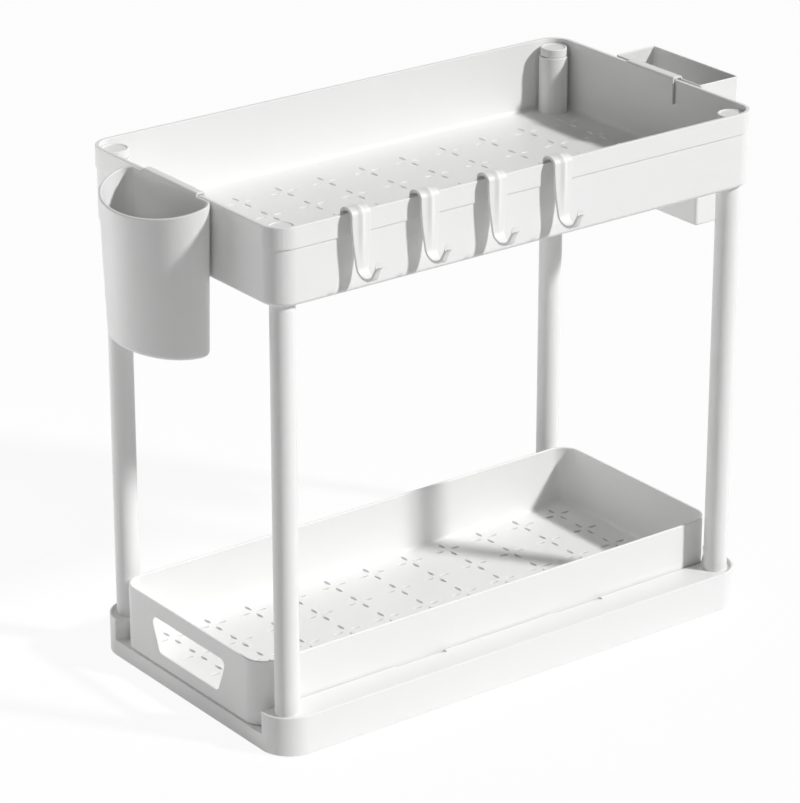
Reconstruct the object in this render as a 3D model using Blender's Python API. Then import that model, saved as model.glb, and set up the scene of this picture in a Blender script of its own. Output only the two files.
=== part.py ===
"""Two-tier sliding organizer shelf, modelled as the separate pieces that it is put together from.

The base stands on four pads and holds four round posts, the posts carry the upper tray, and a
drawer slides out of the base's left end. A cup, a bin and four hooks hang on the tray's rim.
X runs along the length, Y along the depth with the hooks at -Y, and Z is up. All lengths are in
metres. The pieces are placed about the middle of the base's footprint, and one empty then moves
them together so that the origin is under the middle of the whole object.
"""

import math

import bmesh
import bpy

# Driving dimensions
BASE_LENGTH = 0.395
BASE_DEPTH = 0.215
OVERALL_HEIGHT = 0.360

# Clearances, and how far a cutter runs past the face that it cuts
SEAT_GAP = 0.0003
DRAWER_SIDE_GAP = 0.0009
DRAWER_END_GAP = 0.001
OVERRUN = 0.002

# Posts and the pads under them
POST_DIAMETER = 0.0163
POST_WALL = 0.0012
POST_INSET_X = 0.0156
POST_INSET_Y = 0.015
PAD_DIAMETER = 0.014
PAD_THICKNESS = 0.0015
PAD_PROUD = 0.0007
PAD_EDGE = 0.0003

# Base
BASE_HEIGHT = 0.028
BASE_CORNER_RADIUS = 0.0216
BASE_WALL = 0.0022
BASE_EDGE = 0.0006
BASE_RIM_WIDTH = 0.0016
LEDGE_DROP = 0.002
CHANNEL_FLOOR_HEIGHT = 0.0122
END_LEDGE_WIDTH = 0.007
LEAD_IN_WIDTH = 0.0046
LEAD_IN_LENGTH = 0.008
SOCKET_FLOOR = 0.0025
RELIEF_PLACE = 0.067
RELIEF_LENGTH = 0.041
RELIEF_WIDTH = 0.0035
RELIEF_DROP = 0.0012
RELIEF_HOLE_LENGTH = 0.007
RELIEF_HOLE_WIDTH = 0.0021
RIB_COUNT = 5
RIB_PITCH = 0.060
RIB_THICKNESS = 0.0018
RIB_HEIGHT = 0.003

# Drawer
DRAWER_WIDTH = 0.1602
DRAWER_HEIGHT = 0.046
DRAWER_CORNER_RADIUS = 0.015
DRAWER_WALL = 0.0019
DRAWER_FLOOR = 0.0016
DRAWER_SETBACK = 0.0015
DRAWER_EDGE = 0.0009
GRIP_TOP_WIDTH = 0.0874
GRIP_BOTTOM_WIDTH = 0.068
GRIP_RADIUS = 0.004
GRIP_BAND = 0.0115
GRIP_SILL = 0.0098

# Upper tray
TRAY_INSET = 0.0018
TRAY_HEIGHT = 0.052
TRAY_CORNER_RADIUS = 0.016
TRAY_WALL = 0.002
TRAY_FLOOR = 0.0025
TRAY_EDGE = 0.003
BAND_HEIGHT = 0.0142
BAND_PROUD = 0.0008
SLEEVE_WALL = 0.0018
SLEEVE_DROP = 0.009
SLEEVE_ROOF = 0.004

# Post caps
CAP_DIAMETER = 0.0183
CAP_EDGE = 0.0015
CAP_BELOW_RIM = 0.003
CAP_PLUG_LENGTH = 0.012

# Rounding of every moulded rim
RIM_ROUND = 0.0006

# Drain holes: flowers of four pointed petals, in a grid on both floors
FLOWER_COLUMNS = 11
FLOWER_ROWS = 5
PETAL_START = 0.003
PETAL_LENGTH = 0.008
PETAL_WIDTH = 0.0022
TRAY_PATTERN_MARGIN_X = 0.0217
TRAY_PATTERN_MARGIN_Y = 0.0381
DRAWER_PATTERN_MARGIN_X = 0.0233
DRAWER_PATTERN_MARGIN_Y = 0.0162

# Hooks: the inner leg, the arch over the rim, the outer strip, the bowl and its leaning tip
HOOK_COUNT = 4
HOOK_PITCH = 0.053
HOOK_FIRST_PLACE = 0.059
HOOK_WIDTH = 0.0145
HOOK_THICKNESS = 0.002
HOOK_RIB_WIDTH = 0.0066
HOOK_RIB_HEIGHT = 0.0012
HOOK_LEG_DROP = 0.018
HOOK_STANDOFF = 0.0068
HOOK_ARCH_RISE = 0.0035
HOOK_BOWL_RADIUS = 0.0073
HOOK_BOWL_DROP = 0.0321
HOOK_STRIP_LEAN = 0.001
HOOK_TIP_RISE = 0.0055
HOOK_TIP_LEAN = math.radians(34)
HOOK_ARCH_STEPS = 8
HOOK_STRIP_STEPS = 4
HOOK_BOWL_STEPS = 8
HOOK_TIP_STEPS = 2
# Width along the hook as a share of its full width, against the share of its length
HOOK_WIDTH_SHARES = (
    (0.0, 1.0), (0.40, 1.0), (0.52, 0.90), (0.62, 0.74),
    (0.72, 0.58), (0.80, 0.46), (0.90, 0.36), (1.0, 0.32),
)
# Where the raised rib begins to fade and where it is gone, as shares of the hook's length
HOOK_RIB_FADE_SHARES = (0.45, 0.72)

# Clips that carry the cup and the bin over the tray's rim
CLIP_GAP = 0.0005
CLIP_THICKNESS = 0.0015
CLIP_DROP = 0.017
CLIP_RISER_OVERLAP = 0.008
CLIP_RISER_INSET = 0.0002

# Cup: a D in plan, its flat side against the tray's left end
CUP_WIDTH = 0.096
CUP_DEPTH = 0.0425
CUP_HEIGHT = 0.102
CUP_WALL = 0.002
CUP_EDGE = 0.003
CUP_WIDTH_TAPER = 0.007
CUP_DEPTH_TAPER = 0.003
CUP_LIP_SLOPE = 0.010
CUP_BACK_RADIUS = 0.008
CUP_CENTRE_Y = 0.006
CUP_CLIP_WIDTH = 0.060

# Bin: a narrow box that hangs behind the tray's right end
BIN_WIDTH = 0.088
BIN_DEPTH = 0.035
BIN_HEIGHT = 0.1004
BIN_WALL = 0.0015
BIN_CORNER_RADIUS = 0.0025
BIN_EDGE = 0.0015
BIN_STANDOFF = 0.0023
BIN_CENTRE_Y = 0.001
BIN_CLIP_WIDTH = 0.049

# Facets of the round parts
CORNER_STEPS = 6
EDGE_STEPS = 2
ROUND_SIDES = 24
CUP_STEPS = 12
SMOOTH_ANGLE = math.radians(35)

# Colours of the two plastics and the rubber
SHELF_WHITE = (0.86, 0.86, 0.85, 1.0)
PAD_GREY = (0.30, 0.30, 0.31, 1.0)
PLASTIC_ROUGHNESS = 0.42
RUBBER_ROUGHNESS = 0.85

# Places that several pieces share
HALF_LENGTH = BASE_LENGTH / 2
HALF_DEPTH = BASE_DEPTH / 2
POST_RADIUS = POST_DIAMETER / 2
POST_X = HALF_LENGTH - POST_INSET_X
POST_Y = HALF_DEPTH - POST_INSET_Y
SOCKET_RADIUS = POST_RADIUS + SEAT_GAP
BASE_BOTTOM = PAD_PROUD
BOSS_BOTTOM = PAD_THICKNESS + SEAT_GAP
SOCKET_BOTTOM = BOSS_BOTTOM + SOCKET_FLOOR
LEDGE_HEIGHT = BASE_HEIGHT - LEDGE_DROP
CHANNEL_HALF_WIDTH = DRAWER_WIDTH / 2 + DRAWER_SIDE_GAP
CHANNEL_END = HALF_LENGTH - END_LEDGE_WIDTH
DRAWER_BOTTOM = CHANNEL_FLOOR_HEIGHT + SEAT_GAP
DRAWER_RIM = DRAWER_BOTTOM + DRAWER_HEIGHT
DRAWER_LEFT = -HALF_LENGTH + DRAWER_SETBACK
DRAWER_RIGHT = CHANNEL_END - DRAWER_END_GAP
DRAWER_CENTRE_X = (DRAWER_LEFT + DRAWER_RIGHT) / 2
DRAWER_HALF_LENGTH = (DRAWER_RIGHT - DRAWER_LEFT) / 2
TRAY_RIM = OVERALL_HEIGHT
TRAY_BOTTOM = TRAY_RIM - TRAY_HEIGHT
TRAY_HALF_LENGTH = HALF_LENGTH - TRAY_INSET
TRAY_HALF_DEPTH = HALF_DEPTH - TRAY_INSET
TRAY_RIM_WALL = TRAY_WALL + BAND_PROUD
SLEEVE_RADIUS = SOCKET_RADIUS + SLEEVE_WALL
SLEEVE_TOP = TRAY_RIM - SLEEVE_DROP
SLEEVE_CEILING = SLEEVE_TOP - SLEEVE_ROOF
POST_BOTTOM = SOCKET_BOTTOM + SEAT_GAP
POST_TOP = SLEEVE_CEILING - SEAT_GAP
POST_BORE_RADIUS = POST_RADIUS - POST_WALL
CUP_BACK = TRAY_HALF_LENGTH + SEAT_GAP
BIN_BACK = TRAY_HALF_LENGTH + BIN_STANDOFF
CORNER_SIGNS = {
    "front_left": (-1, -1),
    "front_right": (1, -1),
    "rear_left": (-1, 1),
    "rear_right": (1, 1),
}


def clear_scene():
    """Remove every object that the file holds."""
    for item in list(bpy.data.objects):
        bpy.data.objects.remove(item, do_unlink=True)


def make_material(name, colour, roughness):
    """Make a plain Principled material."""
    material = bpy.data.materials.new(name)
    material.use_nodes = True
    shader = material.node_tree.nodes["Principled BSDF"]
    shader.inputs["Base Color"].default_value = colour
    shader.inputs["Roughness"].default_value = roughness
    shader.inputs["Metallic"].default_value = 0.0
    return material


def make_object(name, mesh, material, location=(0, 0, 0)):
    """Put a mesh in the scene as one piece, hung on the shelf's empty."""
    piece = bpy.data.objects.new(name, mesh)
    bpy.context.scene.collection.objects.link(piece)
    piece.parent = SHELF
    piece.location = location
    if material and not mesh.materials:
        mesh.materials.append(material)
    return piece


def finish_mesh(name, shape):
    """Turn a bmesh into a mesh with outward faces, smooth where it is round."""
    bmesh.ops.recalc_face_normals(shape, faces=shape.faces)
    mesh = bpy.data.meshes.new(name)
    shape.to_mesh(mesh)
    shape.free()
    mesh.shade_smooth()
    mesh.set_sharp_from_angle(angle=SMOOTH_ANGLE)
    return mesh


def add_stack(shape, rings):
    """Add a closed body to a bmesh: rings of points, skinned one to the next, with both ends capped."""
    loops = [[shape.verts.new(point) for point in ring] for ring in rings]
    count = len(loops[0])
    for lower, upper in zip(loops, loops[1:]):
        for index in range(count):
            following = (index + 1) % count
            shape.faces.new((lower[index], lower[following], upper[following], upper[index]))
    shape.faces.new(list(reversed(loops[0])))
    shape.faces.new(loops[-1])


def stack_mesh(name, bodies):
    """Mesh of one or more stacks that don't touch each other."""
    shape = bmesh.new()
    for rings in bodies:
        add_stack(shape, rings)
    return finish_mesh(name, shape)


def modify(piece, name, bodies, operation):
    """Cut the stacks out of a piece, or join them on, with a Boolean that stays on the piece."""
    helper = make_object(piece.name + "_" + name, stack_mesh(name, bodies), None)
    helper.hide_render = True
    helper.display_type = "WIRE"
    modifier = piece.modifiers.new(name, "BOOLEAN")
    modifier.operation = operation
    modifier.solver = "EXACT"
    modifier.object = helper


def cut(piece, name, bodies):
    """Take the stacks away from a piece."""
    modify(piece, name, bodies, "DIFFERENCE")


def join(piece, name, bodies):
    """Add the stacks to a piece."""
    modify(piece, name, bodies, "UNION")


def at_height(outline, height):
    """Lift a plan outline to one height."""
    return [(x, y, height) for x, y in outline]


def prism(outline, low, high):
    """Upright prism on a plan outline."""
    return [at_height(outline, low), at_height(outline, high)]


def circle(centre, radius):
    """Plan outline of a round part."""
    outline = []
    for index in range(ROUND_SIDES):
        turn = 2 * math.pi * index / ROUND_SIDES
        outline.append((centre[0] + radius * math.cos(turn), centre[1] + radius * math.sin(turn)))
    return outline


def turned(centre, profile):
    """Rings of a round body, from its radii and heights."""
    return [at_height(circle(centre, radius), height) for radius, height in profile]


def box(low_x, high_x, low_y, high_y, low_z, high_z):
    """Rings of a plain box."""
    outline = [(low_x, low_y), (high_x, low_y), (high_x, high_y), (low_x, high_y)]
    return prism(outline, low_z, high_z)


def rounded_polygon(corners, radius):
    """Outline with each corner turned into an arc of the radius, or less where a side is short."""
    outline = []
    for index, corner in enumerate(corners):
        before = corners[index - 1]
        after = corners[(index + 1) % len(corners)]
        into = (before[0] - corner[0], before[1] - corner[1])
        out = (after[0] - corner[0], after[1] - corner[1])
        into_length = math.hypot(*into)
        out_length = math.hypot(*out)
        into = (into[0] / into_length, into[1] / into_length)
        out = (out[0] / out_length, out[1] / out_length)
        half_angle = math.acos(max(-1, min(1, into[0] * out[0] + into[1] * out[1]))) / 2
        setback = min(radius / math.tan(half_angle), into_length / 2, out_length / 2)
        fitted = setback * math.tan(half_angle)
        middle = (into[0] + out[0], into[1] + out[1])
        reach = fitted / math.sin(half_angle) / math.hypot(*middle)
        centre = (corner[0] + middle[0] * reach, corner[1] + middle[1] * reach)
        start = (corner[0] + into[0] * setback, corner[1] + into[1] * setback)
        end = (corner[0] + out[0] * setback, corner[1] + out[1] * setback)
        first = math.atan2(start[1] - centre[1], start[0] - centre[0])
        sweep = math.atan2(end[1] - centre[1], end[0] - centre[0]) - first
        sweep = (sweep + math.pi) % (2 * math.pi) - math.pi
        for step in range(CORNER_STEPS + 1):
            turn = first + sweep * step / CORNER_STEPS
            outline.append((centre[0] + fitted * math.cos(turn), centre[1] + fitted * math.sin(turn)))
    return outline


def rounded_rectangle(centre, half_x, half_y, radius):
    """Plan outline of a rectangle with round corners."""
    corners = [(-half_x, -half_y), (half_x, -half_y), (half_x, half_y), (-half_x, half_y)]
    return rounded_polygon([(centre[0] + x, centre[1] + y) for x, y in corners], radius)


def edge_arc(radius):
    """Quarter round as pairs of inset and rise, from the face that is left to the face that is met."""
    turns = [math.pi / 2 * step / EDGE_STEPS for step in range(EDGE_STEPS + 1)]
    return [(radius * (1 - math.sin(turn)), radius * (1 - math.cos(turn))) for turn in turns]


def shell_profile(bottom, rim, wall, floor, edge, band=None):
    """Inset and height of each ring of an open box: up the outside, over the rim, down the inside.

    The rounded bottom edge has the radius given as edge. A band is a pair of height and depth: the
    outer face stands out by that depth for that height below the rim, and the insets start there.
    """
    band_height, band_depth = band if band else (0, 0)
    full_wall = wall + band_depth
    inner_edge = max(edge - wall, RIM_ROUND)
    profile = [(band_depth + inset, bottom + rise) for inset, rise in edge_arc(edge)]
    if band:
        profile.append((band_depth, rim - band_height))
        profile.append((0, rim - band_height))
    profile += [(rise, rim - inset) for inset, rise in edge_arc(RIM_ROUND)]
    profile += [(full_wall - rise, rim - inset) for inset, rise in reversed(edge_arc(RIM_ROUND))]
    inner_floor = bottom + floor
    profile += [(full_wall + inset, inner_floor + rise) for inset, rise in reversed(edge_arc(inner_edge))]
    return profile


def box_shell(centre, half_x, half_y, radius, profile):
    """Rings of an open box with round corners."""
    rings = []
    for inset, height in profile:
        corner = max(radius - inset, RIM_ROUND)
        outline = rounded_rectangle(centre, half_x - inset, half_y - inset, corner)
        rings.append(at_height(outline, height))
    return rings


def extrude_along_y(outline, low_y, high_y):
    """Rings of a body with an outline in X and Z."""
    return [[(x, low_y, z) for x, z in outline], [(x, high_y, z) for x, z in outline]]


def extrude_along_x(outline, low_x, high_x):
    """Rings of a body with an outline in Y and Z."""
    return [[(low_x, y, z) for y, z in outline], [(high_x, y, z) for y, z in outline]]


def petal_bodies(centre_x, pitch_x, pitch_y, low, high):
    """Pointed petals, four to a flower, for a grid of flowers about the middle of a floor."""
    bodies = []
    middle = PETAL_START + PETAL_LENGTH / 2
    half_width = PETAL_WIDTH / 2
    end = PETAL_START + PETAL_LENGTH
    petal = [(PETAL_START, 0), (middle, -half_width), (end, 0), (middle, half_width)]
    for column in range(FLOWER_COLUMNS):
        for row in range(FLOWER_ROWS):
            flower_x = centre_x + (column - (FLOWER_COLUMNS - 1) / 2) * pitch_x
            flower_y = (row - (FLOWER_ROWS - 1) / 2) * pitch_y
            for cosine, sine in ((1, 0), (0, 1), (-1, 0), (0, -1)):
                outline = [
                    (flower_x + along * cosine - across * sine, flower_y + along * sine + across * cosine)
                    for along, across in petal
                ]
                bodies.append(prism(outline, low, high))
    return bodies


def post_places():
    """Middle of each post in plan."""
    return [(POST_X * side_x, POST_Y * side_y) for side_x, side_y in CORNER_SIGNS.values()]


def make_base():
    """Base: a shallow moulding with a raised rim, a ledge and an open channel for the drawer."""
    profile = [(inset, BASE_BOTTOM + rise) for inset, rise in edge_arc(BASE_EDGE)]
    profile += [(rise, BASE_HEIGHT - inset) for inset, rise in edge_arc(BASE_EDGE)]
    outer = box_shell((0, 0), HALF_LENGTH, HALF_DEPTH, BASE_CORNER_RADIUS, profile)
    base = make_object("base_frame", stack_mesh("base_frame", [outer]), PLASTIC)

    recess_length = HALF_LENGTH - BASE_RIM_WIDTH
    recess_depth = HALF_DEPTH - BASE_RIM_WIDTH
    recess = rounded_rectangle((0, 0), recess_length, recess_depth, BASE_CORNER_RADIUS - BASE_RIM_WIDTH)
    cut(base, "ledge_recess", [prism(recess, LEDGE_HEIGHT, BASE_HEIGHT + OVERRUN)])

    # The channel keeps round corners at its closed end and widens at its open end.
    channel_radius = DRAWER_CORNER_RADIUS + DRAWER_END_GAP
    closed_end = rounded_rectangle((0, 0), CHANNEL_END, CHANNEL_HALF_WIDTH, channel_radius)
    mouth = CHANNEL_HALF_WIDTH + LEAD_IN_WIDTH
    channel = [point for point in closed_end if point[0] > 0]
    channel.sort(key=lambda point: point[1])
    channel += [
        (-HALF_LENGTH + LEAD_IN_LENGTH, CHANNEL_HALF_WIDTH),
        (-HALF_LENGTH, mouth),
        (-HALF_LENGTH - OVERRUN, mouth),
        (-HALF_LENGTH - OVERRUN, -mouth),
        (-HALF_LENGTH, -mouth),
        (-HALF_LENGTH + LEAD_IN_LENGTH, -CHANNEL_HALF_WIDTH),
    ]
    cut(base, "drawer_channel", [prism(channel, CHANNEL_FLOOR_HEIGHT, BASE_HEIGHT + OVERRUN)])

    # Underneath, the moulding is hollow between its skirt and the channel's floor.
    skirt_inside = rounded_rectangle(
        (0, 0), HALF_LENGTH - BASE_WALL, HALF_DEPTH - BASE_WALL, BASE_CORNER_RADIUS - BASE_WALL
    )
    underside = CHANNEL_FLOOR_HEIGHT - BASE_WALL
    cut(base, "underside_hollow", [prism(skirt_inside, -OVERRUN, underside)])
    boss_radius = SOCKET_RADIUS + BASE_WALL
    bay_end = POST_X - boss_radius
    bay_inner = CHANNEL_HALF_WIDTH + BASE_WALL
    bay_outer = HALF_DEPTH - BASE_WALL
    bay_ceiling = LEDGE_HEIGHT - BASE_WALL
    bays = [
        box(-bay_end, bay_end, bay_inner, bay_outer, underside - OVERRUN, bay_ceiling),
        box(-bay_end, bay_end, -bay_outer, -bay_inner, underside - OVERRUN, bay_ceiling),
    ]
    cut(base, "ledge_bays", bays)

    # Shallow ribs stiffen the channel's floor from below.
    rib_reach = CHANNEL_HALF_WIDTH + BASE_WALL / 2
    rib_bottom = underside - RIB_HEIGHT
    rib_top = underside + BASE_WALL / 2
    ribs = []
    for index in range(RIB_COUNT):
        rib_x = (index - (RIB_COUNT - 1) / 2) * RIB_PITCH
        low_x = rib_x - RIB_THICKNESS / 2
        high_x = rib_x + RIB_THICKNESS / 2
        ribs.append(box(low_x, high_x, -rib_reach, rib_reach, rib_bottom, rib_top))
    join(base, "cross_ribs", ribs)
    bosses = []
    sockets = []
    for place in post_places():
        bosses.append(prism(circle(place, boss_radius), BOSS_BOTTOM, underside + OVERRUN))
        sockets.append(prism(circle(place, SOCKET_RADIUS), SOCKET_BOTTOM, BASE_HEIGHT + OVERRUN))
    join(base, "post_bosses", bosses)
    cut(base, "post_sockets", sockets)

    # Two shallow reliefs on each side, beside the drawer, with a small through hole at one end.
    relief_floor = LEDGE_HEIGHT - RELIEF_DROP
    relief_edge = CHANNEL_HALF_WIDTH + RELIEF_WIDTH
    reliefs = []
    holes = []
    for side_x in (-1, 1):
        left = RELIEF_PLACE * side_x - RELIEF_LENGTH / 2
        right = left + RELIEF_LENGTH
        for side_y in (-1, 1):
            edges = sorted((side_y * (CHANNEL_HALF_WIDTH - OVERRUN), side_y * relief_edge))
            reliefs.append(box(left, right, *edges, relief_floor, BASE_HEIGHT + OVERRUN))
            hole_edges = sorted((side_y * (relief_edge - RELIEF_HOLE_WIDTH), side_y * relief_edge))
            hole_left = right - RELIEF_HOLE_LENGTH
            hole_low = bay_ceiling - OVERRUN
            holes.append(box(hole_left, right, *hole_edges, hole_low, BASE_HEIGHT + OVERRUN))
    cut(base, "side_reliefs", reliefs)
    cut(base, "relief_holes", holes)


def make_drawer():
    """Drawer: an open box with a finger grip cut through its left end and a perforated floor."""
    half_width = DRAWER_WIDTH / 2
    centre = (DRAWER_CENTRE_X, 0)
    profile = shell_profile(DRAWER_BOTTOM, DRAWER_RIM, DRAWER_WALL, DRAWER_FLOOR, DRAWER_EDGE)
    rings = box_shell(centre, DRAWER_HALF_LENGTH, half_width, DRAWER_CORNER_RADIUS, profile)
    drawer = make_object("sliding_drawer", stack_mesh("sliding_drawer", [rings]), PLASTIC)

    grip_low = DRAWER_BOTTOM + GRIP_SILL
    grip_high = DRAWER_RIM - GRIP_BAND
    corners = [
        (-GRIP_BOTTOM_WIDTH / 2, grip_low),
        (GRIP_BOTTOM_WIDTH / 2, grip_low),
        (GRIP_TOP_WIDTH / 2, grip_high),
        (-GRIP_TOP_WIDTH / 2, grip_high),
    ]
    grip = rounded_polygon(corners, GRIP_RADIUS)
    grip_end = DRAWER_LEFT + DRAWER_WALL + OVERRUN
    cut(drawer, "finger_grip", [extrude_along_x(grip, DRAWER_LEFT - OVERRUN, grip_end)])

    inner_length = 2 * (DRAWER_HALF_LENGTH - DRAWER_WALL - DRAWER_PATTERN_MARGIN_X)
    inner_width = 2 * (half_width - DRAWER_WALL - DRAWER_PATTERN_MARGIN_Y)
    pitch_x = inner_length / (FLOWER_COLUMNS - 1)
    pitch_y = inner_width / (FLOWER_ROWS - 1)
    floor_top = DRAWER_BOTTOM + DRAWER_FLOOR
    petals = petal_bodies(0, pitch_x, pitch_y, DRAWER_BOTTOM - OVERRUN, floor_top + OVERRUN)
    cut(drawer, "drain_petals", petals)


def make_tray():
    """Upper tray: an open box with a proud band round its rim and a sleeve over each post."""
    profile = shell_profile(
        TRAY_BOTTOM, TRAY_RIM, TRAY_WALL, TRAY_FLOOR, TRAY_EDGE, (BAND_HEIGHT, BAND_PROUD)
    )
    rings = box_shell((0, 0), TRAY_HALF_LENGTH, TRAY_HALF_DEPTH, TRAY_CORNER_RADIUS, profile)
    tray = make_object("upper_tray", stack_mesh("upper_tray", [rings]), PLASTIC)

    sleeve_base = TRAY_BOTTOM + TRAY_FLOOR / 2
    sleeves = [prism(circle(place, SLEEVE_RADIUS), sleeve_base, SLEEVE_TOP) for place in post_places()]
    join(tray, "post_sleeves", sleeves)
    bore = [
        (SOCKET_RADIUS, TRAY_BOTTOM - OVERRUN),
        (SOCKET_RADIUS, SLEEVE_CEILING),
        (POST_BORE_RADIUS, SLEEVE_CEILING),
        (POST_BORE_RADIUS, SLEEVE_TOP + OVERRUN),
    ]
    cut(tray, "post_bores", [turned(place, bore) for place in post_places()])

    inner_length = 2 * (TRAY_HALF_LENGTH - TRAY_RIM_WALL - TRAY_PATTERN_MARGIN_X)
    inner_depth = 2 * (TRAY_HALF_DEPTH - TRAY_RIM_WALL - TRAY_PATTERN_MARGIN_Y)
    pitch_x = inner_length / (FLOWER_COLUMNS - 1)
    pitch_y = inner_depth / (FLOWER_ROWS - 1)
    floor_top = TRAY_BOTTOM + TRAY_FLOOR
    cut(tray, "drain_petals", petal_bodies(0, pitch_x, pitch_y, TRAY_BOTTOM - OVERRUN, floor_top + OVERRUN))


def tube_mesh(name, outer_radius, inner_radius, length):
    """Straight tube that stands on its origin."""
    shape = bmesh.new()
    profile = [(outer_radius, 0), (outer_radius, length), (inner_radius, length), (inner_radius, 0)]
    rings = [[shape.verts.new(point) for point in ring] for ring in turned((0, 0), profile)]
    for index, ring in enumerate(rings):
        beside = rings[(index + 1) % len(rings)]
        for step in range(ROUND_SIDES):
            following = (step + 1) % ROUND_SIDES
            shape.faces.new((ring[step], ring[following], beside[following], beside[step]))
    return finish_mesh(name, shape)


def make_posts():
    """Posts, the caps that close them over the tray's sleeves, and the pads under the base."""
    post_mesh = tube_mesh("post", POST_RADIUS, POST_BORE_RADIUS, POST_TOP - POST_BOTTOM)
    cap_radius = CAP_DIAMETER / 2
    plug_radius = POST_BORE_RADIUS - SEAT_GAP
    cap_height = SLEEVE_DROP - SEAT_GAP - CAP_BELOW_RIM
    cap_profile = [(plug_radius, -CAP_PLUG_LENGTH), (plug_radius, 0), (cap_radius, 0)]
    cap_profile += [(cap_radius - rise, cap_height - inset) for inset, rise in edge_arc(CAP_EDGE)]
    cap_mesh = stack_mesh("post_cap", [turned((0, 0), cap_profile)])
    pad_radius = PAD_DIAMETER / 2
    pad_profile = [
        (pad_radius - PAD_EDGE, 0),
        (pad_radius, PAD_EDGE),
        (pad_radius, PAD_THICKNESS - PAD_EDGE),
        (pad_radius - PAD_EDGE, PAD_THICKNESS),
    ]
    pad_mesh = stack_mesh("base_pad", [turned((0, 0), pad_profile)])
    for corner, (side_x, side_y) in CORNER_SIGNS.items():
        place = (POST_X * side_x, POST_Y * side_y)
        make_object("post_" + corner, post_mesh, PLASTIC, (*place, POST_BOTTOM))
        make_object("post_cap_" + corner, cap_mesh, PLASTIC, (*place, SLEEVE_TOP + SEAT_GAP))
        make_object("base_pad_" + corner, pad_mesh, RUBBER, (*place, 0))


def hook_path():
    """Middle line of a hook in Y and Z: Y from the tray's outer front face, Z from its rim."""
    leg_y = TRAY_RIM_WALL + SEAT_GAP + HOOK_THICKNESS / 2
    strip_y = -HOOK_STANDOFF
    arch_half = (leg_y - strip_y) / 2
    arch_y = (leg_y + strip_y) / 2
    spring = SEAT_GAP
    path = [(leg_y, -HOOK_LEG_DROP)]
    for step in range(HOOK_ARCH_STEPS + 1):
        turn = math.pi * step / HOOK_ARCH_STEPS
        path.append((arch_y + arch_half * math.cos(turn), spring + HOOK_ARCH_RISE * math.sin(turn)))
    for step in range(1, HOOK_STRIP_STEPS):
        share = step / HOOK_STRIP_STEPS
        path.append((strip_y - HOOK_STRIP_LEAN * share ** 2, spring - (HOOK_BOWL_DROP + spring) * share))
    bowl_y = strip_y - HOOK_STRIP_LEAN - HOOK_BOWL_RADIUS
    for step in range(HOOK_BOWL_STEPS + 1):
        turn = (HOOK_TIP_LEAN - math.pi) * step / HOOK_BOWL_STEPS
        across = HOOK_BOWL_RADIUS * math.cos(turn)
        path.append((bowl_y + across, -HOOK_BOWL_DROP + HOOK_BOWL_RADIUS * math.sin(turn)))
    root_y, root_z = path[-1]
    for step in range(1, HOOK_TIP_STEPS + 1):
        rise = (-HOOK_BOWL_DROP + HOOK_TIP_RISE - root_z) * step / HOOK_TIP_STEPS
        path.append((root_y - rise * math.tan(HOOK_TIP_LEAN), root_z + rise))
    return path


def share_at(table, place):
    """Value between the rows of a table of shares."""
    for (start, first), (end, last) in zip(table, table[1:]):
        if place <= end:
            return first + (last - first) * (place - start) / (end - start)
    return table[-1][1]


def hook_section(width, rib_height):
    """Cross-section of a hook: a flat strip with a raised rib on its outer face."""
    half = width / 2
    face = HOOK_THICKNESS / 2
    rib_half = HOOK_RIB_WIDTH / 2 * width / HOOK_WIDTH
    return [
        (-half, -face),
        (half, -face),
        (half, face),
        (rib_half, face),
        (rib_half / 2, face + rib_height),
        (-rib_half / 2, face + rib_height),
        (-rib_half, face),
        (-half, face),
    ]


def hook_rings():
    """Rings of a hook from its middle line, its width and its fading rib."""
    path = hook_path()
    lengths = [0]
    for before, after in zip(path, path[1:]):
        lengths.append(lengths[-1] + math.dist(before, after))
    fade_start, fade_end = HOOK_RIB_FADE_SHARES
    rings = []
    for index, (y, z) in enumerate(path):
        before = path[max(index - 1, 0)]
        after = path[min(index + 1, len(path) - 1)]
        span = math.dist(before, after)
        forward = ((after[0] - before[0]) / span, (after[1] - before[1]) / span)
        outward = (forward[1], -forward[0])
        place = lengths[index] / lengths[-1]
        fade = min(max((fade_end - place) / (fade_end - fade_start), 0), 1)
        section = hook_section(HOOK_WIDTH * share_at(HOOK_WIDTH_SHARES, place), HOOK_RIB_HEIGHT * fade)
        rings.append([(across, y + outward[0] * out, z + outward[1] * out) for across, out in section])
    return rings


def make_hooks():
    """Four hooks that slide along the tray's front rim."""
    mesh = stack_mesh("hook", [hook_rings()])
    for index in range(HOOK_COUNT):
        hook_x = -TRAY_HALF_LENGTH + HOOK_FIRST_PLACE + index * HOOK_PITCH
        make_object("hook_" + str(index + 1), mesh, PLASTIC, (hook_x, -TRAY_HALF_DEPTH, TRAY_RIM))


def clip_body(side, back_face, wall, centre_y, width):
    """Clip from a hanging piece's back wall over the tray's rim and down inside it."""
    inner_face = TRAY_HALF_LENGTH - TRAY_RIM_WALL
    riser_inner = back_face + CLIP_RISER_INSET
    riser_outer = back_face + wall - CLIP_RISER_INSET
    leg_outer = inner_face - CLIP_GAP
    leg_inner = leg_outer - CLIP_THICKNESS
    underside = TRAY_RIM + CLIP_GAP
    top = underside + CLIP_THICKNESS
    outline = [
        (riser_outer, TRAY_RIM - CLIP_RISER_OVERLAP),
        (riser_outer, top),
        (leg_inner, top),
        (leg_inner, TRAY_RIM - CLIP_DROP),
        (leg_outer, TRAY_RIM - CLIP_DROP),
        (leg_outer, underside),
        (riser_inner, underside),
        (riser_inner, TRAY_RIM - CLIP_RISER_OVERLAP),
    ]
    placed = [(side * x, z) for x, z in outline]
    return extrude_along_y(placed, centre_y - width / 2, centre_y + width / 2)


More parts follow.
